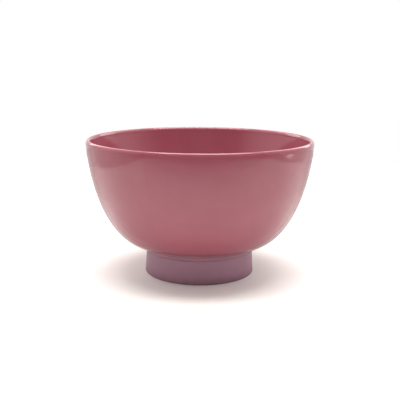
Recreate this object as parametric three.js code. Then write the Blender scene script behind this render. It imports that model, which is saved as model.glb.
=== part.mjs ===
// A red lacquer soup bowl: a turned wooden body on a glued foot ring, hemp cloth where a bowl wears,
// a ground coat over wood and cloth, and a film of lacquer over everything.
// Millimetres, +Z up. The bowl stands on z = 0 with its axis on Z.
import * as THREE from "three";

const { degToRad, lerp } = THREE.MathUtils;

// Finished sizes of the bowl, over the lacquer
const rimDiameter = 120;
const bowlHeight = 72;
const rimThickness = 2.6;
const lipHeight = 2.2; // of the rounded top of the lip
const outsideLean = degToRad(4.4); // inwards from the vertical, just below the rim
const insideLean = degToRad(9); // more than the outside's, so that the wall thickens downwards
const outsideRimReach = 25.6; // how far the outside keeps its lean
const outsideBellyReach = 18; // how far it keeps the belly's direction above the foot
const bellySlope = degToRad(1.5); // upwards from the horizontal, where the belly meets the foot
const insideRimReach = 30; // how far the inside keeps its lean
const insideFloorReach = 45; // how far it keeps the level of the floor
const floorThickness = 7; // on the axis, from the floor inside to the recess under the foot
const neckFilletRadius = 1.2;

// Finished sizes of the foot
const footDiameter = 58.4; // at the standing edge
const neckDiameter = 56.7; // where the foot meets the belly
const neckHeight = 2.75; // of the body's own short neck, above the joint
const standingThickness = 3.8; // of the ring, at the standing edge
const rootThickness = 4.4; // of the ring, level with the roof of the recess
const recessFilletRadius = 2;
const jointGrooveDepth = 0.08; // where the coats have sunk over the joint

// The wood, and the joint between its two pieces
const ringHeight = 12.35;
const spigotHeight = 1.6; // of the round spigot under the body, down into the ring
const pasteThickness = 0.5;
const woodEdgeRadius = 0.5; // of the ring's standing edges, before cloth and coats

// The coats, and how far the cloth reaches along the surface
const lacquerThickness = 0.12;
const groundOverCloth = 0.12;
const clothThickness = 0.2;
const wellClothReach = 26; // from the axis
const rimClothInside = 14; // from the lip
const rimClothOutside = 10;
const footClothReach = 3; // up both sides of the ring, from its rounded edges

// How finely the curves are cut
const facets = 40;
const lipSteps = 3; // up to the top of the lip, and as many down again
const arcSteps = 2;
const floorSteps = 2;
const insideSteps = 6;
const outsideSteps = 8;

// Depths below the finished surface
const groundDepth = lacquerThickness;
const clothDepth = groundDepth + groundOverCloth;
const woodDepth = clothDepth + clothThickness;

// Levels and radii that follow from the sizes
const pasteTop = ringHeight + pasteThickness;
const creaseHeight = pasteTop + neckHeight;
const woodRoof = ringHeight - spigotHeight;
const recessRoof = woodRoof - woodDepth;
const floorHeight = recessRoof + floorThickness;
const footEdgeRadius = woodEdgeRadius + woodDepth;
const lipHalfThickness = rimThickness / 2;
const footFlare = (footDiameter - neckDiameter) / 2 / creaseHeight;

const point = (r, z) => new THREE.Vector2(r, z);
const line = (from, to) => new THREE.LineCurve(from, to);
const startOf = (curve) => curve.getPoint(0);
const endOf = (curve) => curve.getPoint(1);

// The arc that rounds the corner between two straight legs.
function roundedCorner(before, corner, after, radius) {
  const arriving = corner.clone().sub(before).normalize();
  const leaving = after.clone().sub(corner).normalize();
  const turn = Math.atan2(arriving.cross(leaving), arriving.dot(leaving));
  const legLength = radius * Math.tan(Math.abs(turn) / 2);
  const start = corner.clone().addScaledVector(arriving, -legLength);
  const towardsCentre = point(-arriving.y, arriving.x).multiplyScalar(Math.sign(turn) * radius);
  const centre = start.clone().add(towardsCentre);
  const startAngle = Math.atan2(-towardsCentre.y, -towardsCentre.x);
  return new THREE.EllipseCurve(centre.x, centre.y, radius, radius, startAngle, startAngle + turn, turn < 0);
}

// The finished outline starts on the axis inside the bowl. It runs up the inside, over the lip,
// down the outside and under the foot, back to the axis.
const footWallAt = (z) => point(footDiameter / 2 - footFlare * z, z);
const crease = footWallAt(creaseHeight);
const outerFoot = footWallAt(0);
const innerFoot = point(outerFoot.x - standingThickness, 0);
const recessCorner = point(footWallAt(recessRoof).x - rootThickness, recessRoof);
const underAxis = point(0, recessRoof);
const bellyDirection = point(Math.cos(bellySlope), Math.sin(bellySlope));
const outsideRise = point(Math.sin(outsideLean), Math.cos(outsideLean));
const insideRise = point(Math.sin(insideLean), Math.cos(insideLean));

const neckFillet = roundedCorner(crease.clone().add(bellyDirection), crease, outerFoot, neckFilletRadius);
const outerFootEdge = roundedCorner(crease, outerFoot, innerFoot, footEdgeRadius);
const innerFootEdge = roundedCorner(outerFoot, innerFoot, recessCorner, footEdgeRadius);
const recessFillet = roundedCorner(innerFoot, recessCorner, underAxis, recessFilletRadius);

const lipCentre = point(rimDiameter / 2 - lipHalfThickness, bowlHeight - lipHeight);
const lip = new THREE.EllipseCurve(lipCentre.x, lipCentre.y, lipHalfThickness, lipHeight, Math.PI, 0, true);
const inside = new THREE.CubicBezierCurve(
  point(0, floorHeight),
  point(insideFloorReach, floorHeight),
  startOf(lip).addScaledVector(insideRise, -insideRimReach),
  startOf(lip),
);
const outside = new THREE.CubicBezierCurve(
  endOf(lip),
  endOf(lip).addScaledVector(outsideRise, -outsideRimReach),
  startOf(neckFillet).addScaledVector(bellyDirection, outsideBellyReach),
  startOf(neckFillet),
);

// Stations along the outline, each with the direction into the material.
const stations = [];

function addStation(at, tangent) {
  stations.push({ at, inward: point(tangent.y, -tangent.x) });
  return stations.length - 1;
}

// Adds a stretch of a curve, between two of its parameters, and gives its last station.
function follow(curve, steps = 1, from = 0, to = 1) {
  const first = stations.length === 0 ? 0 : 1;
  for (let step = first; step <= steps; step++) {
    const parameter = lerp(from, to, step / steps);
    addStation(curve.getPoint(parameter), curve.getTangent(parameter));
  }
  return stations.length - 1;
}

// The inside and the lip, with the edges of the cloth in the well and over the rim
const parameterAt = (curve, distance) => curve.getUtoTmapping(0, distance);
const wellEdge = parameterAt(inside, wellClothReach);
const rimEdgeInside = parameterAt(inside, inside.getLength() - rimClothInside);
const rimEdgeOutside = parameterAt(outside, rimClothOutside);
const crownParameter = 0.5;

const wellClothEdge = follow(inside, floorSteps, 0, wellEdge);
const rimClothInner = follow(inside, insideSteps, wellEdge, rimEdgeInside);
follow(inside, 1, rimEdgeInside, 1);
const crown = follow(lip, lipSteps, 0, crownParameter);

// The outside, down to the joint, which shows as a shallow groove as wide as the bed of paste behind it
const wallDown = outerFoot.clone().sub(crease).normalize();
const grooveMiddle = footWallAt((ringHeight + pasteTop) / 2).sub(point(jointGrooveDepth, 0));

follow(lip, lipSteps, crownParameter, 1);
const rimClothOuter = follow(outside, 1, 0, rimEdgeOutside);
follow(outside, outsideSteps, rimEdgeOutside, 1);
follow(neckFillet, arcSteps);
const jointAbove = follow(line(endOf(neckFillet), footWallAt(pasteTop)));
const joint = addStation(grooveMiddle, wallDown);
const jointBelow = addStation(footWallAt(ringHeight), wallDown);

// The foot ring, with the edges of the cloth round its standing edge
const innerWallUp = recessCorner.clone().sub(innerFoot).normalize();
const outerClothTop = startOf(outerFootEdge).addScaledVector(wallDown, -footClothReach);
const innerClothTop = endOf(innerFootEdge).addScaledVector(innerWallUp, footClothReach);

const footClothOuter = follow(line(footWallAt(ringHeight), outerClothTop));
follow(line(outerClothTop, startOf(outerFootEdge)));
follow(outerFootEdge, arcSteps);
follow(line(endOf(outerFootEdge), startOf(innerFootEdge)));
follow(innerFootEdge, arcSteps);
const footClothInner = follow(line(endOf(innerFootEdge), innerClothTop));
const recessEdge = follow(line(innerClothTop, startOf(recessFillet)));

// The roof of the recess under the bowl
const ringBore = follow(recessFillet, arcSteps);
const underside = follow(line(endOf(recessFillet), underAxis));

// On the axis the coats lie exactly level.
stations[0].inward.set(0, -1);
stations[underside].inward.set(0, 1);

const below = (station, depth) => stations[station].at.clone().addScaledVector(stations[station].inward, depth);

// The outline at one depth, between two stations.
function layerEdge(first, last, depth) {
  const edge = [];
  for (let station = first; station <= last; station++) {
    edge.push(below(station, depth));
  }
  return edge;
}

// The section of a layer between two depths.
function layer(first, last, outerDepth, innerDepth) {
  return [...layerEdge(first, last, outerDepth), ...layerEdge(first, last, innerDepth).reverse()];
}

const clothSpans = {
  well_cloth: [0, wellClothEdge],
  rim_cloth: [rimClothInner, rimClothOuter],
  foot_cloth: [footClothOuter, footClothInner],
};

// The section of the ground coat, which lies on the cloth where there is cloth and on the wood elsewhere.
function groundLayer(first, last) {
  const bed = [];
  for (let station = first; station < last; station++) {
    const onCloth = Object.values(clothSpans).some(([from, to]) => from <= station && station < to);
    const depth = onCloth ? clothDepth : woodDepth;
    const here = below(station, depth);
    if (bed.length === 0 || !bed.at(-1).equals(here)) {
      bed.push(here);
    }
    bed.push(below(station + 1, depth));
  }
  return [...layerEdge(first, last, groundDepth), ...bed.reverse()];
}

const finishes = {
  wood: { color: 0xb98c5c, roughness: 0.75, metalness: 0 },
  paste: { color: 0x3a2a24, roughness: 0.7, metalness: 0 },
  cloth: { color: 0xb9a784, roughness: 0.95, metalness: 0 },
  ground: { color: 0x4b4039, roughness: 0.85, metalness: 0 },
  lacquer: { color: 0x904b58, roughness: 0.15, metalness: 0 },
};

const bowl = new THREE.Group();
bowl.name = "lacquer_bowl";

// Turns a section, closed on itself, round the axis.
function turned(name, section, finish) {
  const profile = [...section, section[0]].reverse();
  const geometry = new THREE.LatheGeometry(profile, facets);
  geometry.rotateX(Math.PI / 2);
  const mesh = new THREE.Mesh(geometry, new THREE.MeshStandardMaterial(finishes[finish]));
  mesh.name = name;
  bowl.add(mesh);
}

// The turned wood. The body's spigot drops into the ring's bore, and paste fills the joint between them.
const boreRadius = below(ringBore, woodDepth).x;
const spigotRadius = boreRadius - pasteThickness;
const bodySection = [
  ...layerEdge(0, jointAbove, woodDepth),
  point(spigotRadius, pasteTop),
  point(spigotRadius, woodRoof),
  point(0, woodRoof),
];
const ringSection = [...layerEdge(jointBelow, ringBore, woodDepth), point(boreRadius, ringHeight)];
const pasteSection = [
  ...layerEdge(jointAbove, jointBelow, woodDepth),
  point(boreRadius, ringHeight),
  point(boreRadius, woodRoof),
  point(spigotRadius, woodRoof),
  point(spigotRadius, pasteTop),
];
turned("bowl_body_core", bodySection, "wood");
turned("foot_ring_core", ringSection, "wood");
turned("foot_joint_paste", pasteSection, "paste");

// The cloth
for (const [name, [from, to]] of Object.entries(clothSpans)) {
  turned(name, layer(from, to, clothDepth, woodDepth), "cloth");
}

// The coats, laid on in four zones that meet at the lip, the joint and the edge of the recess
const zones = {
  inside: [0, crown],
  outside: [crown, joint],
  foot: [joint, recessEdge],
  underside: [recessEdge, underside],
};
for (const [zone, [from, to]] of Object.entries(zones)) {
  turned(`ground_coat_${zone}`, groundLayer(from, to), "ground");
  turned(`lacquer_${zone}`, layer(from, to, 0, groundDepth), "lacquer");
}

export default bowl;
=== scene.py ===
import math

import bpy
import numpy as np
from mathutils import Matrix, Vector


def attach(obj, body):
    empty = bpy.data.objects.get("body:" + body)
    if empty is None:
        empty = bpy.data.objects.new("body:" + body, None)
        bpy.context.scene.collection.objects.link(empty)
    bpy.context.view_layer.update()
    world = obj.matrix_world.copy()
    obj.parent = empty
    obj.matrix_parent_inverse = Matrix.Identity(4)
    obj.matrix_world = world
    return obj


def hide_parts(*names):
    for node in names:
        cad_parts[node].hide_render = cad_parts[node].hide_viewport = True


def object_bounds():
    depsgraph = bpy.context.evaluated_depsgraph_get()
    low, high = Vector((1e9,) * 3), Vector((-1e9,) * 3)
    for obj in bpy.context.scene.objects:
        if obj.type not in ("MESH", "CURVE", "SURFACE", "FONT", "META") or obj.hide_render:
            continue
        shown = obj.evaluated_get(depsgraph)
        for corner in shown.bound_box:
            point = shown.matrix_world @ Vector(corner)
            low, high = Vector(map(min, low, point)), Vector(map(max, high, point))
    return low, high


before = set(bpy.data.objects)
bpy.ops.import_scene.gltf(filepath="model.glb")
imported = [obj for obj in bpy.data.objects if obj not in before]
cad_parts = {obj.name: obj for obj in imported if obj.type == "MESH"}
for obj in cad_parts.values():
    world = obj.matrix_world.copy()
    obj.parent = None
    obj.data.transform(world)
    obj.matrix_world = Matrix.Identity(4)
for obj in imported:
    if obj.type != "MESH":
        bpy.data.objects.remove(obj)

cad_low, cad_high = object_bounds()
MM = 0.001

# Finished sizes of the bowl, over the lacquer, as in the CAD
rim_radius = cad_high.x
bowl_height = cad_high.z
rim_thickness = 2.6 * MM
lip_height = 2.2 * MM
outside_lean = math.radians(4.4)
inside_lean = math.radians(9)
outside_rim_reach = 25.6 * MM
outside_belly_reach = 18 * MM
belly_slope = math.radians(1.5)
inside_rim_reach = 30 * MM
inside_floor_reach = 45 * MM
floor_thickness = 7 * MM
neck_fillet_radius = 1.2 * MM

# Finished sizes of the foot
foot_radius = 29.2 * MM
neck_radius = 28.35 * MM
neck_height = 2.75 * MM
standing_thickness = 3.8 * MM
root_thickness = 4.4 * MM
recess_fillet_radius = 2 * MM
joint_groove_depth = 0.08 * MM

# The wood, and the joint between its two pieces
ring_height = 12.35 * MM
spigot_height = 1.6 * MM
paste_thickness = 0.5 * MM
wood_edge_radius = 0.5 * MM

# The coats, and how far the hemp reaches along the surface
lacquer_thickness = 0.12 * MM
ground_over_cloth = 0.12 * MM
cloth_thickness = 0.2 * MM
well_cloth_reach = 26 * MM
rim_cloth_inside = 14 * MM
rim_cloth_outside = 10 * MM
foot_cloth_reach = 3 * MM

# How finely the surfaces are worked out. A step of a section keeps the outline's normals where they lie
# within the corner angle of its own.
turn_steps = 160
inside_steps = 60
lip_steps = 16
outside_steps = 72
corner_steps = 6
groove_steps = 4
wall_steps = 5
roof_steps = 8
corner_angle = math.radians(32)
axis_tolerance = 1e-9

# Depths below the finished surface, and levels that follow from the sizes
ground_depth = lacquer_thickness
cloth_depth = ground_depth + ground_over_cloth
wood_depth = cloth_depth + cloth_thickness
paste_top = ring_height + paste_thickness
joint_height = ring_height + paste_thickness / 2
crease_height = paste_top + neck_height
wood_roof = ring_height - spigot_height
recess_roof = wood_roof - wood_depth
floor_height = recess_roof + floor_thickness
foot_edge_radius = wood_edge_radius + wood_depth
foot_flare = (foot_radius - neck_radius) / crease_height

# Hemp threads, the heights where the foot's lacquer turns paler, greyer and rougher, and the reaches of the
# wear and painted shade near the table and of the painted shade line at the joint
thread_pitch = 0.9 * MM
wear_and_shade_height = 5 * MM
dulled_height = 12 * MM
dulled_end = 15.5 * MM
joint_shade_reach = 0.5 * MM

# The camera, fitted to the bowl's outline in a square picture: radians, and the lens in millimetres
camera_place = (0.2 * MM, -386.8 * MM, 117.3 * MM)
camera_pitch = 0.2005
camera_roll = 0.0067
camera_lens = 66.0

# The white table, which the lacquer mirrors dimmer towards the front and, clear of the bowl, behind it
table_radius = 450 * MM
table_white = 0.92
front_dimness = 0.55
front_clear = -100 * MM
back_dimness = 0.55
back_slant = 1.0
near_bowl = 38 * MM
clear_of_bowl = 62 * MM

# Each lamp: degrees round from the front, degrees above the table, width, depth and watts.
lamps = {
    "overhead lamp": (0, 90, 600 * MM, 360 * MM, 5.0),
    "strip lamp": (0, 80, 1200 * MM, 140 * MM, 1.35),
    "left rear lamp": (-130, 38, 500 * MM, 500 * MM, 1.85),
    "right rear lamp": (130, 38, 500 * MM, 500 * MM, 1.85),
    "left lamp": (-90, 25, 300 * MM, 300 * MM, 0.8),
    "right lamp": (90, 25, 300 * MM, 300 * MM, 0.8),
    "front lamp": (0, 25, 300 * MM, 300 * MM, 0.9),
}
mirrored_lamps = ("overhead lamp", "strip lamp", "left rear lamp", "right rear lamp")
lamp_distance = 600 * MM
lamp_tint = (1.0, 0.965, 0.92)

# The sides, the open front and the low window of the studio, which only reflections show
left_side = -226 * MM
right_side = 265 * MM
front_side = -233 * MM
back_end = 161 * MM
side_height = 450 * MM
side_glow = 1.05
left_fade = -10 * MM
right_fade = 90 * MM
front_glow = 0.05
front_foot_glow = 0.35
front_foot_height = 40 * MM
window_place = (263 * MM, -8 * MM, 22 * MM)
window_half = (1 * MM, 38 * MM, 18 * MM)
window_glow = 2.4
window_soft_share = 0.6


def pair(r, z):
    """A point of the outline: its distance from the axis and its height."""
    return np.array([r, z])


def unit(vectors):
    """Vectors divided by their own lengths."""
    return vectors / np.linalg.norm(vectors, axis=-1, keepdims=True)


def straight(start, end, steps):
    """A straight stretch: start plus a growing share of the way to the end. Gives points and directions."""
    share = np.linspace(0, 1, steps + 1)[:, None]
    points = start + share * (end - start)
    return points, np.broadcast_to(unit(end - start), points.shape)


def bent(start, start_handle, end_handle, end, steps):
    """A cubic curve: four points weighted by the powers of t and 1 - t. Directions are its derivative."""
    t = np.linspace(0, 1, steps + 1)[:, None]
    s = 1 - t
    points = s**3 * start + 3 * s * s * t * start_handle + 3 * s * t * t * end_handle + t**3 * end
    first_leg = start_handle - start
    middle_leg = end_handle - start_handle
    last_leg = end - end_handle
    return points, unit(s * s * first_leg + 2 * s * t * middle_leg + t * t * last_leg)


def arc(centre, radii, start_angle, end_angle, steps):
    """An arc of an ellipse: the centre plus each radius times the cosine or the sine of the angle."""
    angle = np.linspace(start_angle, end_angle, steps + 1)
    points = centre + radii * np.stack([np.cos(angle), np.sin(angle)], axis=1)
    towards = radii * np.stack([-np.sin(angle), np.cos(angle)], axis=1)
    return points, unit(towards * math.copysign(1, end_angle - start_angle))


def rounded(before, corner, after, radius):
    """The arc that touches both legs of a corner, radius times tan of half the turn away from it."""
    arriving = unit(corner - before)
    leaving = unit(after - corner)
    turn = math.atan2(np.cross(arriving, leaving), arriving @ leaving)
    start = corner - arriving * radius * math.tan(abs(turn) / 2)
    to_centre = pair(-arriving[1], arriving[0]) * math.copysign(radius, turn)
    first = math.atan2(-to_centre[1], -to_centre[0])
    return arc(start + to_centre, radius, first, first + turn, corner_steps)


def foot_wall(z):
    """The foot's wall: its radius falls with height by the flare."""
    return np.stack([foot_radius - foot_flare * z, z], axis=-1)


def joint_groove(start, end):
    """The foot's wall across the joint: a dip of half the groove's depth times 1 plus a cosine.

    The start and the end are shares of half the joint, from -1 at its upper edge to 1 at its lower one.
    """
    across = np.linspace(start, end, groove_steps + 1)
    half_height = paste_thickness / 2
    points = foot_wall(joint_height - across * half_height)
    points[:, 0] -= joint_groove_depth / 2 * (1 + np.cos(np.pi * across))
    outwards = foot_flare * half_height + joint_groove_depth / 2 * np.pi * np.sin(np.pi * across)
    return points, unit(np.stack([outwards, np.full_like(across, -half_height)], axis=1))


def finished_outline():
    """The finished outline, from the axis inside, up over the lip, down and under the foot to the axis.

    Gives its points, its directions, and the station where each named stretch ends.
    """
    crease = foot_wall(crease_height)
    outer_foot = foot_wall(0.0)
    inner_foot = outer_foot - pair(standing_thickness, 0)
    recess_corner = foot_wall(recess_roof) - pair(root_thickness, 0)
    under_axis = pair(0, recess_roof)
    belly_direction = pair(math.cos(belly_slope), math.sin(belly_slope))
    outside_rise = pair(math.sin(outside_lean), math.cos(outside_lean))
    inside_rise = pair(math.sin(inside_lean), math.cos(inside_lean))

    lip_radii = pair(rim_thickness / 2, lip_height)
    lip_centre = pair(rim_radius, bowl_height) - lip_radii
    lip_inner = lip_centre - lip_radii * pair(1, 0)
    lip_outer = lip_centre + lip_radii * pair(1, 0)
    neck_fillet = rounded(crease + belly_direction, crease, outer_foot, neck_fillet_radius)
    outer_edge = rounded(crease, outer_foot, inner_foot, foot_edge_radius)
    inner_edge = rounded(outer_foot, inner_foot, recess_corner, foot_edge_radius)
    recess_fillet = rounded(inner_foot, recess_corner, under_axis, recess_fillet_radius)
    belly_end = neck_fillet[0][0]

    inside = bent(
        pair(0, floor_height),
        pair(inside_floor_reach, floor_height),
        lip_inner - inside_rise * inside_rim_reach,
        lip_inner,
        inside_steps,
    )
    outside = bent(
        lip_outer,
        lip_outer - outside_rise * outside_rim_reach,
        belly_end + belly_direction * outside_belly_reach,
        belly_end,
        outside_steps,
    )
    recess_wall_top = inner_edge[0][-1] + unit(recess_corner - inner_foot) * foot_cloth_reach
    stretches = {
        "lip_inner": inside,
        "crown": arc(lip_centre, lip_radii, math.pi, math.pi / 2, lip_steps),
        "lip_outer": arc(lip_centre, lip_radii, math.pi / 2, 0, lip_steps),
        "belly_end": outside,
        "crease": neck_fillet,
        "joint_above": straight(neck_fillet[0][-1], foot_wall(paste_top), 1),
        "joint": joint_groove(-1, 0),
        "joint_below": joint_groove(0, 1),
        "outer_edge_start": straight(foot_wall(ring_height), outer_edge[0][0], wall_steps),
        "outer_edge_end": outer_edge,
        "inner_edge_start": straight(outer_edge[0][-1], inner_edge[0][0], 1),
        "inner_edge_end": inner_edge,
        "recess_wall": straight(inner_edge[0][-1], recess_wall_top, 1),
        "recess_edge": straight(recess_wall_top, recess_fillet[0][0], wall_steps),
        "ring_bore": recess_fillet,
        "underside": straight(recess_fillet[0][-1], under_axis, roof_steps),
    }
    points = np.concatenate([inside[0][:1]] + [stretch[0][1:] for stretch in stretches.values()])
    directions = np.concatenate([inside[1][:1]] + [stretch[1][1:] for stretch in stretches.values()])
    ends = np.cumsum([len(stretch[0]) - 1 for stretch in stretches.values()])
    return points, directions, dict(zip(stretches, ends.tolist()))


def lengths_along(points):
    """The length of a line of points from its first one to each of them."""
    return np.concatenate([[0], np.cumsum(np.linalg.norm(np.diff(points, axis=0), axis=1))])


outline, outline_directions, station = finished_outline()
into_material = np.stack([outline_directions[:, 1], -outline_directions[:, 0]], axis=1)
outline_length = lengths_along(outline)


def station_at(mark, distance):
    """The station nearest to a distance along the outline, counted from a named one."""
    return int(np.argmin(np.abs(outline_length - outline_length[station[mark]] - distance)))


hemp_spans = {
    "well_cloth": (0, station_at("lip_inner", well_cloth_reach - outline_length[station["lip_inner"]])),
    "rim_cloth": (station_at("lip_inner", -rim_cloth_inside), station_at("lip_outer", rim_cloth_outside)),
    "foot_cloth": (station_at("outer_edge_start", -foot_cloth_reach), station["recess_wall"]),
}
steps_on_hemp = np.zeros(len(outline) - 1, bool)
for first_step, last_step in hemp_spans.values():
    steps_on_hemp[first_step:last_step] = True


def sunk(stations, depth):
    """Outline points moved into the material by a depth, each with the outline's outward normal."""
    points = outline[stations] + into_material[stations] * np.reshape(depth, (-1, 1))
    return np.hstack([points, -into_material[stations]])


def edge_between(first, last, depth):
    """The outline between two stations, at one depth."""
    return sunk(np.arange(first, last + 1), depth)


def turned_over(edge):
    """An edge run backwards, as the back of a layer: its normals point the other way."""
    return edge[::-1] * np.array([1, 1, -1, -1])


def film(first, last, outer_depth, inner_depth):
    """The closed section of an even layer between two depths."""
    front = edge_between(first, last, outer_depth)
    back = turned_over(edge_between(first, last, inner_depth))
    return np.concatenate([front, back])


def levelling_coat(first, last):
    """The closed section of the ground coat, which is thinner where it lies on hemp and thicker on wood."""
    both_ends = np.repeat(np.arange(first, last + 1), 2)[1:-1]
    depths = np.repeat(np.where(steps_on_hemp[first:last], cloth_depth, wood_depth), 2)
    bed = sunk(both_ends, depths)
    moved = np.concatenate([[True], np.any(np.diff(bed, axis=0) != 0, axis=1)])
    return np.concatenate([edge_between(first, last, ground_depth), turned_over(bed[moved])])


def cut_wood(*points):
    """Points of a section that the tool cuts straight from one to the next, with no smooth normals."""
    return np.hstack([np.array(points), np.zeros((len(points), 2))])


def step_normals(section, smooth):
    """Normals at both ends of each step: the outline's own where the step runs along it, else flat."""
    step = unit(np.roll(section, -1, axis=0) - section)
    flat = np.stack([-step[:, 1], step[:, 0]], axis=1)[:, None]
    along_outline = np.stack([smooth, np.roll(smooth, -1, axis=0)], axis=1)
    follows = np.sum(along_outline * flat, axis=-1, keepdims=True) > math.cos(corner_angle)
    return np.where(follows, along_outline, flat)


def turned_mesh(name, section, smooth):
    """Turns a closed section round the axis: radius times the cosine and sine of the angle, and its height.

    Points on the axis become one vertex each. The map UV holds the share of a turn and the length along the
    section, and the attribute along holds that length as well.
    """
    # A ring of vertices for each point of the section, or a single one on the axis
    count = len(section)
    on_axis = section[:, 0] < axis_tolerance
    angle = np.arange(turn_steps) * (2 * np.pi / turn_steps)
    ring = np.stack([np.cos(angle), np.sin(angle)], axis=1)
    places = np.empty((count, turn_steps, 3))
    places[:, :, :2] = section[:, None, :1] * ring
    places[:, :, 2] = section[:, 1:]

    own = np.ones((count, turn_steps), bool)
    own[on_axis, 1:] = False
    number = np.cumsum(own.ravel()).reshape(count, turn_steps) - 1
    number[on_axis] = number[on_axis, :1]

    # Four corners to each face, three where it ends on the axis, and none along the axis
    after = np.roll(np.arange(count), -1)
    column = np.arange(turn_steps)
    beside = np.roll(column, -1)
    corners = np.stack([number, number[after], number[after][:, beside], number[:, beside]], axis=-1)
    kept = np.ones(corners.shape, bool)
    kept[on_axis, :, 3] = False
    kept[on_axis[after], :, 2] = False
    kept[on_axis & on_axis[after]] = False

    # The map and the normal at each corner
    along = lengths_along(np.concatenate([section, section[:1]]))
    turn_share = np.stack([column, column, column + 1, column + 1], axis=-1) / turn_steps
    corner_along = np.stack([along[:-1], along[1:], along[1:], along[:-1]], axis=-1)[:, None]
    unrolled = np.stack(np.broadcast_arrays(turn_share, corner_along), axis=-1)
    corner_rings = np.stack([ring, ring, ring[beside], ring[beside]], axis=1)
    corner_normals = step_normals(section, smooth)[:, None, [0, 1, 1, 0]]
    outwards = corner_normals[..., :1] * corner_rings
    upwards = np.broadcast_to(corner_normals[..., 1:], outwards.shape[:-1] + (1,))
    normals = np.concatenate([outwards, upwards], axis=-1)

    # The mesh, set from whole arrays
    sizes = kept.sum(axis=-1).ravel()
    sizes = sizes[sizes > 0]
    starts = np.cumsum(sizes) - sizes
    mesh = bpy.data.meshes.new(name)
    mesh.vertices.add(int(own.sum()))
    mesh.vertices.foreach_set("co", places[own].ravel())
    mesh.loops.add(int(sizes.sum()))
    mesh.loops.foreach_set("vertex_index", corners[kept].astype(np.int32))
    mesh.polygons.add(len(sizes))
    mesh.polygons.foreach_set("loop_start", starts.astype(np.int32))
    mesh.update(calc_edges=True)
    uv_map = mesh.uv_layers.new(name="UV")
    uv_map.data.foreach_set("uv", unrolled[kept].ravel())
    length = mesh.attributes.new("along", "FLOAT", "POINT")
    point_along = np.broadcast_to(along[:-1, None], own.shape)[own]
    length.data.foreach_set("value", point_along.astype(np.float32))
    mesh.shade_smooth()
    mesh.validate()
    mesh.normals_split_custom_set(normals[kept])
    return mesh


def turned(name, section, material, node):
    """A piece turned from a closed section and its normals, which takes the place of a CAD node."""
    mesh = turned_mesh(name, section[:, :2], section[:, 2:])
    mesh.materials.append(material)
    piece = bpy.data.objects.new(name, mesh)
    bpy.context.scene.collection.objects.link(piece)
    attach(piece, "root")
    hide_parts(node)


# The sockets of a colour Mix node, the range where most values of a noise lie, and two plain colours
mix_first = 6
mix_second = 7
mix_result = 2
noise_range = (0.3, 0.7)
black = (0, 0, 0, 1)
white = (1, 1, 1, 1)


def add_node(tree, kind, inputs, **options):
    """Adds a node, sets its options, and gives each named input a constant or a link."""
    made = tree.nodes.new(kind)
    for option, value in options.items():
        setattr(made, option, value)
    for socket, value in inputs.items():
        if isinstance(value, bpy.types.NodeSocket):
            tree.links.new(value, made.inputs[socket])
        else:
            made.inputs[socket].default_value = value
    return made


def mixed(tree, share, first, second):
    """One colour going over to another by a share."""
    inputs = {0: share, mix_first: first, mix_second: second}
    return add_node(tree, "ShaderNodeMix", inputs, data_type="RGBA").outputs[mix_result]


def worked_out(tree, operation, first, second=0.0):
    """A sum, a product or another result of two values, or of the first alone."""
    return add_node(tree, "ShaderNodeMath", {0: first, 1: second}, operation=operation).outputs[0]


def spread(tree, value, old_range, new_range):
    """A value carried smoothly from one range to another and held at its ends."""
    inputs = {
        "Value": value,
        "From Min": old_range[0],
        "From Max": old_range[1],
        "To Min": new_range[0],
        "To Max": new_range[1],
    }
    return add_node(tree, "ShaderNodeMapRange", inputs, interpolation_type="SMOOTHSTEP").outputs[0]


def object_place(tree):
    """The place of a point on its object, in metres."""
    return tree.nodes.new("ShaderNodeTexCoord").outputs["Object"]


def axes_of(tree, place):
    """The X, Y and Z of a place."""
    return add_node(tree, "ShaderNodeSeparateXYZ", {0: place}).outputs


def noise(tree, place, scale, detail, roughness=0.5):
    """Cloudy noise over a place."""
    inputs = {"Vector": place, "Scale": scale, "Detail": detail, "Roughness": roughness}
    return add_node(tree, "ShaderNodeTexNoise", inputs).outputs[0]


def raised(tree, height, relief):
    """A normal that follows a height, in metres of relief."""
    return add_node(tree, "ShaderNodeBump", {"Height": height, "Distance": relief}).outputs[0]


def new_group(name, inputs, outputs):
    """A node group with named sockets: gives its tree, its inputs, and its outputs still to be linked."""
    tree = bpy.data.node_groups.new(name, "ShaderNodeTree")
    for socket, kind in inputs.items():
        tree.interface.new_socket(socket, in_out="INPUT", socket_type=kind)
    for socket, kind in outputs.items():
        tree.interface.new_socket(socket, in_out="OUTPUT", socket_type=kind)
    return tree, tree.nodes.new("NodeGroupInput").outputs, tree.nodes.new("NodeGroupOutput").inputs


def use_group(tree, group, inputs):
    """Places a node group with its own values."""
    return add_node(tree, "ShaderNodeGroup", inputs, node_tree=group).outputs


def drifting_tone():
    """Group: a colour that drifts in soft clouds towards a second one, and the clouds themselves."""
    cloud_detail = 4.0
    cloud_roughness = 0.55
    tree, given, result = new_group(
        "drifting tone",
        {
            "Tone": "NodeSocketColor",
            "Second Tone": "NodeSocketColor",
            "Clouds Per Metre": "NodeSocketFloat",
        },
        {"Color": "NodeSocketColor", "Clouds": "NodeSocketFloat"},
    )
    mist = noise(tree, object_place(tree), given["Clouds Per Metre"], cloud_detail, cloud_roughness)
    clouds = spread(tree, mist, noise_range, (0, 1))
    tree.links.new(mixed(tree, clouds, given["Tone"], given["Second Tone"]), result["Color"])
    tree.links.new(clouds, result["Clouds"])
    return tree


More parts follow.
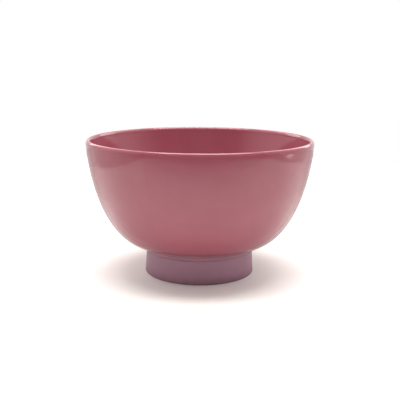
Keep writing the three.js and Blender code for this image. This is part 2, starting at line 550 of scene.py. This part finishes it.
def tool_marks():
    """Group: fine marks that run round the bowl, as a brush, a stone or a turning tool leaves them."""
    mark_detail = 3.0
    tree, given, result = new_group(
        "tool marks",
        {"Marks Per Metre": "NodeSocketFloat", "Breaks Per Metre": "NodeSocketFloat"},
        {"Height": "NodeSocketFloat"},
    )
    along = add_node(tree, "ShaderNodeAttribute", {}, attribute_name="along").outputs["Fac"]
    round_inputs = {0: object_place(tree), "Scale": given["Breaks Per Metre"]}
    round_bowl = add_node(tree, "ShaderNodeVectorMath", round_inputs, operation="SCALE").outputs[0]
    flat = axes_of(tree, round_bowl)
    across = worked_out(tree, "MULTIPLY", along, given["Marks Per Metre"])
    stretched = add_node(tree, "ShaderNodeCombineXYZ", {"X": flat["X"], "Y": flat["Y"], "Z": across})
    tree.links.new(noise(tree, stretched.outputs[0], scale=1.0, detail=mark_detail), result["Height"])
    return tree


def wear_and_shade_band():
    """Group: a patchy mask that is full at one level above the table and fades out over a reach. The
    lacquer uses it for wear and for painted shade.
    """
    patches_per_metre = 180.0
    patch_detail = 3.0
    # The noise lies about one half, so this lifts the mask to full at its level.
    lift = 0.5
    tree, given, result = new_group(
        "wear and shade band",
        {"Level": "NodeSocketFloat", "Reach": "NodeSocketFloat"},
        {"Mask": "NodeSocketFloat"},
    )
    place = object_place(tree)
    above = worked_out(tree, "SUBTRACT", axes_of(tree, place)["Z"], given["Level"])
    share = worked_out(tree, "DIVIDE", worked_out(tree, "ABSOLUTE", above), given["Reach"])
    patchy = worked_out(tree, "ADD", noise(tree, place, patches_per_metre, patch_detail), lift)
    near = worked_out(tree, "SUBTRACT", patchy, share)
    tree.links.new(spread(tree, near, (0, 1), (0, 1)), result["Mask"])
    return tree


tone_group = drifting_tone()
marks_group = tool_marks()
band_group = wear_and_shade_band()


def clouded(tree, tone, second_tone, clouds_per_metre):
    """The drifting tone group with its own colours."""
    inputs = {"Tone": tone, "Second Tone": second_tone, "Clouds Per Metre": clouds_per_metre}
    return use_group(tree, tone_group, inputs)


def marks_round(tree, marks_per_metre, breaks_per_metre):
    """The height of the tool marks group with its own spacing."""
    inputs = {"Marks Per Metre": marks_per_metre, "Breaks Per Metre": breaks_per_metre}
    return use_group(tree, marks_group, inputs)["Height"]


def band_share(tree, level, reach, share):
    """The mask of the band group for wear and painted shade about a level, at most a share of full."""
    mask = use_group(tree, band_group, {"Level": level, "Reach": reach})["Mask"]
    return worked_out(tree, "MULTIPLY", mask, share)


def new_finish(name, constants):
    """A material with a Principled shader whose constants are set on its own sockets."""
    material = bpy.data.materials.new(name)
    material.use_nodes = True
    tree = material.node_tree
    shader = tree.nodes["Principled BSDF"]
    for socket, value in constants.items():
        shader.inputs[socket].default_value = value
    return material, tree, shader.inputs


def red_lacquer():
    """Brushed red lacquer: drifting pigment, a gloss with faint strokes and swell, and a paler, greyer,
    rougher foot, worn rougher and painted darker as shade near the table, with a line of painted shade at
    the joint.
    """
    red = (0.278, 0.070, 0.098, 1)
    deep_red = (0.262, 0.064, 0.089, 1)
    pale_lilac_red = (0.29, 0.147, 0.207, 1)
    painted_shade_red = (0.115, 0.056, 0.076, 1)
    clouds_per_metre = 38.0
    gloss_range = (0.085, 0.115)
    dulling = 0.4
    wear_and_shade_strength = 0.42
    joint_shade_strength = 0.35
    strokes_per_metre = 1400.0
    stroke_breaks_per_metre = 16.0
    stroke_relief = 0.0006 * MM
    swells_per_metre = 55.0
    swell_relief = 0.006 * MM

    material, tree, shader = new_finish("red lacquer", {"IOR": 1.5})
    tone = clouded(tree, red, deep_red, clouds_per_metre)
    height = axes_of(tree, object_place(tree))["Z"]
    # Below the crease the lacquer turns a paler, greyer lilac red and grows rougher.
    below_crease = spread(tree, height, (dulled_height, dulled_end), (1, 0))
    paler_foot_tone = mixed(tree, below_crease, tone["Color"], pale_lilac_red)
    # Near the table the foot is worn rougher and painted darker: painted shade where the foot meets the
    # table.
    wear_and_shade_near_table = band_share(tree, 0.0, wear_and_shade_height, wear_and_shade_strength)
    # A thin dark line at the joint is painted shade.
    joint_shade_line = band_share(tree, joint_height, joint_shade_reach, joint_shade_strength)
    # Both painted shades darken the colour towards a deep red.
    painted_shade_share = worked_out(tree, "MAXIMUM", wear_and_shade_near_table, joint_shade_line)
    tree.links.new(mixed(tree, painted_shade_share, paler_foot_tone, painted_shade_red), shader["Base Color"])

    gloss = spread(tree, tone["Clouds"], (0, 1), gloss_range)
    dulled = worked_out(tree, "ADD", gloss, worked_out(tree, "MULTIPLY", below_crease, dulling))
    tree.links.new(worked_out(tree, "MAXIMUM", dulled, wear_and_shade_near_table), shader["Roughness"])

    strokes = marks_round(tree, strokes_per_metre, stroke_breaks_per_metre)
    stroked = raised(tree, strokes, stroke_relief)
    waves = use_group(tree, tone_group, {"Clouds Per Metre": swells_per_metre})["Clouds"]
    swell = {"Height": waves, "Distance": swell_relief, "Normal": stroked}
    tree.links.new(add_node(tree, "ShaderNodeBump", swell).outputs[0], shader["Normal"])
    return material


def stone_ground_coat():
    """Ground coat of lacquer and clay: dark, matt, stoned flat, with specks of clay."""
    brown = (0.070, 0.051, 0.041, 1)
    dark_brown = (0.050, 0.036, 0.030, 1)
    clay = (0.16, 0.13, 0.10, 1)
    clouds_per_metre = 70.0
    grit_per_metre = 4200.0
    grit_detail = 2.0
    speck_range = (0.58, 0.70)
    speck_share = 0.6
    roughness_range = (0.72, 0.9)
    scratches_per_metre = 5200.0
    scratch_breaks_per_metre = 60.0
    scratch_relief = 0.012 * MM

    material, tree, shader = new_finish("stone-ground coat", {"IOR": 1.5})
    tone = clouded(tree, brown, dark_brown, clouds_per_metre)
    grit = noise(tree, object_place(tree), grit_per_metre, grit_detail)
    specks = spread(tree, grit, speck_range, (0, speck_share))
    tree.links.new(mixed(tree, specks, tone["Color"], clay), shader["Base Color"])
    tree.links.new(spread(tree, grit, noise_range, roughness_range), shader["Roughness"])
    scratches = marks_round(tree, scratches_per_metre, scratch_breaks_per_metre)
    tree.links.new(raised(tree, scratches, scratch_relief), shader["Normal"])
    return material


def thread_height(tree, threads):
    """The round back of threads: the size of the sine of pi times the number of threads passed."""
    wave = worked_out(tree, "SINE", worked_out(tree, "MULTIPLY", threads, math.pi))
    return worked_out(tree, "ABSOLUTE", wave)


def hemp(name, threads_place, threads_scale):
    """Hemp in plain weave, soaked in lacquer: two sets of round threads, each on top in turn."""
    straw = (0.46, 0.36, 0.21, 1)
    dark_straw = (0.33, 0.23, 0.12, 1)
    soaked_gap = (0.085, 0.052, 0.032, 1)
    clouds_per_metre = 160.0
    gap_height = 0.7
    gap_share = 0.75
    roughness_range = (0.55, 0.85)
    thread_relief = 0.08 * MM

    material, tree, shader = new_finish(name, {"IOR": 1.5})
    place = tree.nodes.new("ShaderNodeTexCoord").outputs[threads_place]
    woven = add_node(tree, "ShaderNodeMapping", {"Vector": place, "Scale": threads_scale}).outputs[0]
    axes = axes_of(tree, woven)
    over = add_node(tree, "ShaderNodeTexChecker", {"Vector": woven, "Scale": 1.0}).outputs["Fac"]
    under = worked_out(tree, "SUBTRACT", 1.0, over)
    warp = worked_out(tree, "MULTIPLY", thread_height(tree, axes["X"]), over)
    weft = worked_out(tree, "MULTIPLY", thread_height(tree, axes["Y"]), under)
    height = worked_out(tree, "ADD", warp, weft)
    tone = clouded(tree, straw, dark_straw, clouds_per_metre)
    gaps = spread(tree, height, (0, gap_height), (gap_share, 0))
    tree.links.new(mixed(tree, gaps, tone["Color"], soaked_gap), shader["Base Color"])
    tree.links.new(spread(tree, height, (0, 1), roughness_range), shader["Roughness"])
    tree.links.new(raised(tree, height, thread_relief), shader["Normal"])
    return material


def turned_wood():
    """Turned wood with level grain: yearly rings round an axis beside the bowl, pores, and tool marks."""
    brown = (0.48, 0.27, 0.12, 1)
    deep_brown = (0.41, 0.22, 0.095, 1)
    ring_brown = (0.26, 0.125, 0.05, 1)
    pore_brown = (0.14, 0.065, 0.028, 1)
    clouds_per_metre = 24.0
    trunk_place = (0, 12 * MM, 110 * MM)
    trunk_turn = (0.05, math.radians(88), 0)
    ring_share = 0.6
    fibres_per_metre = (140, 2600, 2600)
    pore_detail = 3.0
    pore_range = (0.56, 0.72)
    pore_share = 0.7
    roughness_range = (0.62, 0.82)
    grooves_per_metre = 2400.0
    groove_breaks_per_metre = 8.0
    groove_relief = 0.03 * MM

    material, tree, shader = new_finish("turned wood", {"IOR": 1.45})
    place = object_place(tree)
    trunk_inputs = {"Vector": place, "Location": trunk_place, "Rotation": trunk_turn}
    trunk = add_node(tree, "ShaderNodeMapping", trunk_inputs).outputs[0]
    rings = add_node(
        tree,
        "ShaderNodeTexWave",
        {"Vector": trunk, "Scale": 90.0, "Distortion": 2.2, "Detail": 3.0, "Detail Scale": 1.4},
        wave_type="RINGS",
        rings_direction="Z",
        wave_profile="SAW",
    ).outputs["Fac"]
    fibres = add_node(tree, "ShaderNodeMapping", {"Vector": place, "Scale": fibres_per_metre}).outputs[0]
    pores = noise(tree, fibres, scale=1.0, detail=pore_detail)
    tone = clouded(tree, brown, deep_brown, clouds_per_metre)
    ringed = mixed(tree, worked_out(tree, "MULTIPLY", rings, ring_share), tone["Color"], ring_brown)
    flecked = mixed(tree, spread(tree, pores, pore_range, (0, pore_share)), ringed, pore_brown)
    tree.links.new(flecked, shader["Base Color"])
    tree.links.new(spread(tree, pores, noise_range, roughness_range), shader["Roughness"])
    grooves = marks_round(tree, grooves_per_metre, groove_breaks_per_metre)
    tree.links.new(raised(tree, grooves, groove_relief), shader["Normal"])
    return material


def dark_paste():
    """Glue paste of lacquer and wood dust: near black, matt, with pale grains of wood."""
    near_black = (0.042, 0.023, 0.018, 1)
    deeper_black = (0.028, 0.016, 0.013, 1)
    wood_dust = (0.20, 0.115, 0.055, 1)
    clouds_per_metre = 220.0
    grains_per_metre = 2600.0
    grain_range = (0.12, 0.34)
    grain_share = 0.7
    smear_range = (0.1, 0.6)
    roughness_range = (0.6, 0.8)
    grain_relief = 0.05 * MM

    material, tree, shader = new_finish("dark paste", {"IOR": 1.5})
    tone = clouded(tree, near_black, deeper_black, clouds_per_metre)
    dust_inputs = {"Vector": object_place(tree), "Scale": grains_per_metre}
    dust = add_node(tree, "ShaderNodeTexVoronoi", dust_inputs).outputs["Distance"]
    grains = spread(tree, dust, grain_range, (grain_share, 0))
    tree.links.new(mixed(tree, grains, tone["Color"], wood_dust), shader["Base Color"])
    tree.links.new(spread(tree, dust, smear_range, roughness_range), shader["Roughness"])
    tree.links.new(raised(tree, dust, grain_relief), shader["Normal"])
    return material


def make_wood():
    """Turns the body and the foot ring, and the paste that lies between them."""
    bore_radius = sunk([station["ring_bore"]], wood_depth)[0, 0]
    spigot_radius = bore_radius - paste_thickness
    spigot = cut_wood((spigot_radius, paste_top), (spigot_radius, wood_roof), (0, wood_roof))
    bore_top = cut_wood((bore_radius, ring_height))
    paste_skirt = cut_wood(
        (bore_radius, wood_roof),
        (spigot_radius, wood_roof),
        (spigot_radius, paste_top),
    )
    body_edge = edge_between(0, station["joint_above"], wood_depth)
    ring_edge = edge_between(station["joint_below"], station["ring_bore"], wood_depth)
    paste_edge = edge_between(station["joint_above"], station["joint_below"], wood_depth)
    wood = turned_wood()
    turned("turned_body", np.concatenate([body_edge, spigot]), wood, "bowl_body_core")
    turned("turned_foot_ring", np.concatenate([ring_edge, bore_top]), wood, "foot_ring_core")
    paste = np.concatenate([paste_edge, bore_top, paste_skirt])
    turned("joint_paste", paste, dark_paste(), "foot_joint_paste")


def make_hemp():
    """Turns the hemp disc and strips, with whole numbers of threads round the strips."""
    threads_per_metre = 1 / thread_pitch
    rim_threads = round(2 * math.pi * rim_radius * threads_per_metre)
    foot_threads = round(2 * math.pi * foot_radius * threads_per_metre)
    finishes = {
        "well_cloth": hemp("hemp disc", "Object", (threads_per_metre, threads_per_metre, 0)),
        "rim_cloth": hemp("hemp rim strip", "UV", (rim_threads, threads_per_metre, 0)),
        "foot_cloth": hemp("hemp foot strip", "UV", (foot_threads, threads_per_metre, 0)),
    }
    for node, (first, last) in hemp_spans.items():
        section = film(first, last, cloth_depth, wood_depth)
        turned(f"{node}_hemp", section, finishes[node], node)


def make_coats():
    """Turns the ground coat and the lacquer film of each zone."""
    lacquer = red_lacquer()
    ground = stone_ground_coat()
    zones = {
        "inside": (0, station["crown"]),
        "outside": (station["crown"], station["joint"]),
        "foot": (station["joint"], station["recess_edge"]),
        "underside": (station["recess_edge"], station["underside"]),
    }
    for zone, (first, last) in zones.items():
        turned(f"{zone}_ground", levelling_coat(first, last), ground, f"ground_coat_{zone}")
        turned(f"{zone}_film", film(first, last, 0, ground_depth), lacquer, f"lacquer_{zone}")


def staged(name, corners, material):
    """A flat sheet of the studio through its corners, in order."""
    mesh = bpy.data.meshes.new(name)
    mesh.from_pydata(corners, [], [list(range(len(corners)))])
    mesh.materials.append(material)
    sheet = bpy.data.objects.new(name, mesh)
    bpy.context.scene.collection.objects.link(sheet)
    return sheet


def make_table():
    """A round white table, which is dimmer in reflections by its place before or behind the bowl."""
    material, tree, shader = new_finish("white table", {"Roughness": 0.9, "Specular IOR Level": 0.0})
    place = object_place(tree)
    across = axes_of(tree, place)
    # At least a millimetre, so that the slant is never divided by zero
    sideways = worked_out(tree, "MAXIMUM", worked_out(tree, "ABSOLUTE", across["X"]), MM)
    slant = worked_out(tree, "DIVIDE", across["Y"], sideways)
    away = add_node(tree, "ShaderNodeVectorMath", {0: place}, operation="LENGTH").outputs["Value"]
    before = spread(tree, across["Y"], (front_side, front_clear), (front_dimness, 0))
    behind = spread(tree, slant, (0, back_slant), (0, back_dimness))
    open_floor = spread(tree, away, (near_bowl, clear_of_bowl), (0, 1))
    shaded = worked_out(tree, "MAXIMUM", before, worked_out(tree, "MULTIPLY", behind, open_floor))
    mirrored = tree.nodes.new("ShaderNodeLightPath").outputs["Is Glossy Ray"]
    dimness = worked_out(tree, "MULTIPLY", mirrored, shaded)
    table_tone = (table_white, table_white, table_white, 1)
    tree.links.new(mixed(tree, dimness, table_tone, black), shader["Base Color"])
    angle = np.linspace(0, 2 * np.pi, turn_steps, endpoint=False)
    circle = table_radius * np.stack([np.cos(angle), np.sin(angle), np.zeros_like(angle)], axis=1)
    staged("table", circle.tolist(), material)


def new_glow(name):
    """A material with no shader yet: gives it, its tree, and the socket of its surface."""
    material = bpy.data.materials.new(name)
    material.use_nodes = True
    tree = material.node_tree
    tree.nodes.remove(tree.nodes["Principled BSDF"])
    return material, tree, tree.nodes["Material Output"].inputs["Surface"]


def emission(tree, strength):
    """Light of the lamps' tint."""
    inputs = {"Color": (*lamp_tint, 1), "Strength": strength}
    return add_node(tree, "ShaderNodeEmission", inputs).outputs[0]


def fading_light(name, axis, places, glows):
    """A glow that changes smoothly from one strength to another between two places along an axis."""
    material, tree, surface = new_glow(name)
    along = axes_of(tree, object_place(tree))[axis]
    tree.links.new(emission(tree, spread(tree, along, places, glows)), surface)
    return material


def window_light():
    """An oval glow added to what is behind it, strongest in the middle and fading smoothly to its edge."""
    material, tree, surface = new_glow("window light")
    oval_inputs = {"Vector": object_place(tree), "Location": window_place, "Scale": window_half}
    oval = add_node(tree, "ShaderNodeMapping", oval_inputs, vector_type="TEXTURE").outputs[0]
    gradient = add_node(tree, "ShaderNodeTexGradient", {"Vector": oval}, gradient_type="SPHERICAL")
    strength = spread(tree, gradient.outputs["Fac"], (0, window_soft_share), (0, window_glow))
    clear = tree.nodes.new("ShaderNodeBsdfTransparent").outputs[0]
    both = add_node(tree, "ShaderNodeAddShader", {0: emission(tree, strength), 1: clear}).outputs[0]
    tree.links.new(both, surface)
    return material


def mirrored_sheet(name, start, end, low, high, material):
    """An upright sheet between two points that only reflections see: it gives no light and no shadow."""
    corners = [(*start, low), (*end, low), (*end, high), (*start, high)]
    sheet = staged(name, corners, material)
    sheet.visible_camera = False
    sheet.visible_diffuse = False
    sheet.visible_shadow = False


def make_studio_sides():
    """What the lacquer mirrors of the studio: sides that darken to the open front, and a low window."""
    for name, x, fade in (("left side", left_side, left_fade), ("right side", right_side, right_fade)):
        side = fading_light(name, "Y", (front_side, fade), (front_glow, side_glow))
        mirrored_sheet(name, (x, front_side), (x, back_end), 0, side_height, side)
    left_end = (left_side, front_side)
    right_end = (right_side, front_side)
    front = fading_light("front opening", "Z", (0, front_foot_height), (front_foot_glow, front_glow))
    mirrored_sheet("front opening", left_end, right_end, 0, side_height, front)
    x, y, z = window_place
    _, half_width, half_height = window_half
    near_end = (x, y - half_width)
    far_end = (x, y + half_width)
    mirrored_sheet("low window", near_end, far_end, z - half_height, z + half_height, window_light())


def make_light():
    """Soft oval lamps over and round the bowl, and a white surround that is also the white background."""
    for name, (azimuth, height, width, depth, power) in lamps.items():
        lamp = bpy.data.lights.new(name, "AREA")
        lamp.shape = "ELLIPSE"
        lamp.size = width
        lamp.size_y = depth
        lamp.energy = power
        lamp.color = lamp_tint
        holder = bpy.data.objects.new(name, lamp)
        turn = Matrix.Rotation(math.radians(azimuth), 4, "Z")
        lean = Matrix.Rotation(math.radians(90 - height), 4, "X")
        holder.matrix_world = turn @ lean @ Matrix.Translation((0, 0, lamp_distance))
        holder.visible_glossy = name in mirrored_lamps
        bpy.context.scene.collection.objects.link(holder)

    world = bpy.data.worlds.new("white surround")
    bpy.context.scene.world = world
    world.use_nodes = True
    tree = world.node_tree
    rays = tree.nodes.new("ShaderNodeLightPath").outputs
    clear = worked_out(tree, "MAXIMUM", rays["Is Glossy Ray"], rays["Is Transmission Ray"])
    seen = worked_out(tree, "MAXIMUM", rays["Is Camera Ray"], clear)
    background = tree.nodes["Background"].inputs
    background["Color"].default_value = white
    tree.links.new(seen, background["Strength"])


def make_camera():
    """The camera stands in front, looks down by its pitch, and is rolled a little about its sight."""
    data = bpy.data.cameras.new("camera")
    data.lens = camera_lens
    camera = bpy.data.objects.new("camera", data)
    tilt = Matrix.Rotation(math.pi / 2 - camera_pitch, 4, "X")
    roll = Matrix.Rotation(camera_roll, 4, "Z")
    camera.matrix_world = Matrix.Translation(camera_place) @ tilt @ roll
    bpy.context.scene.collection.objects.link(camera)
    bpy.context.scene.camera = camera


make_camera()
make_wood()
make_hemp()
make_coats()
make_table()
make_studio_sides()
make_light()
bpy.context.scene.view_settings.view_transform = "Standard"
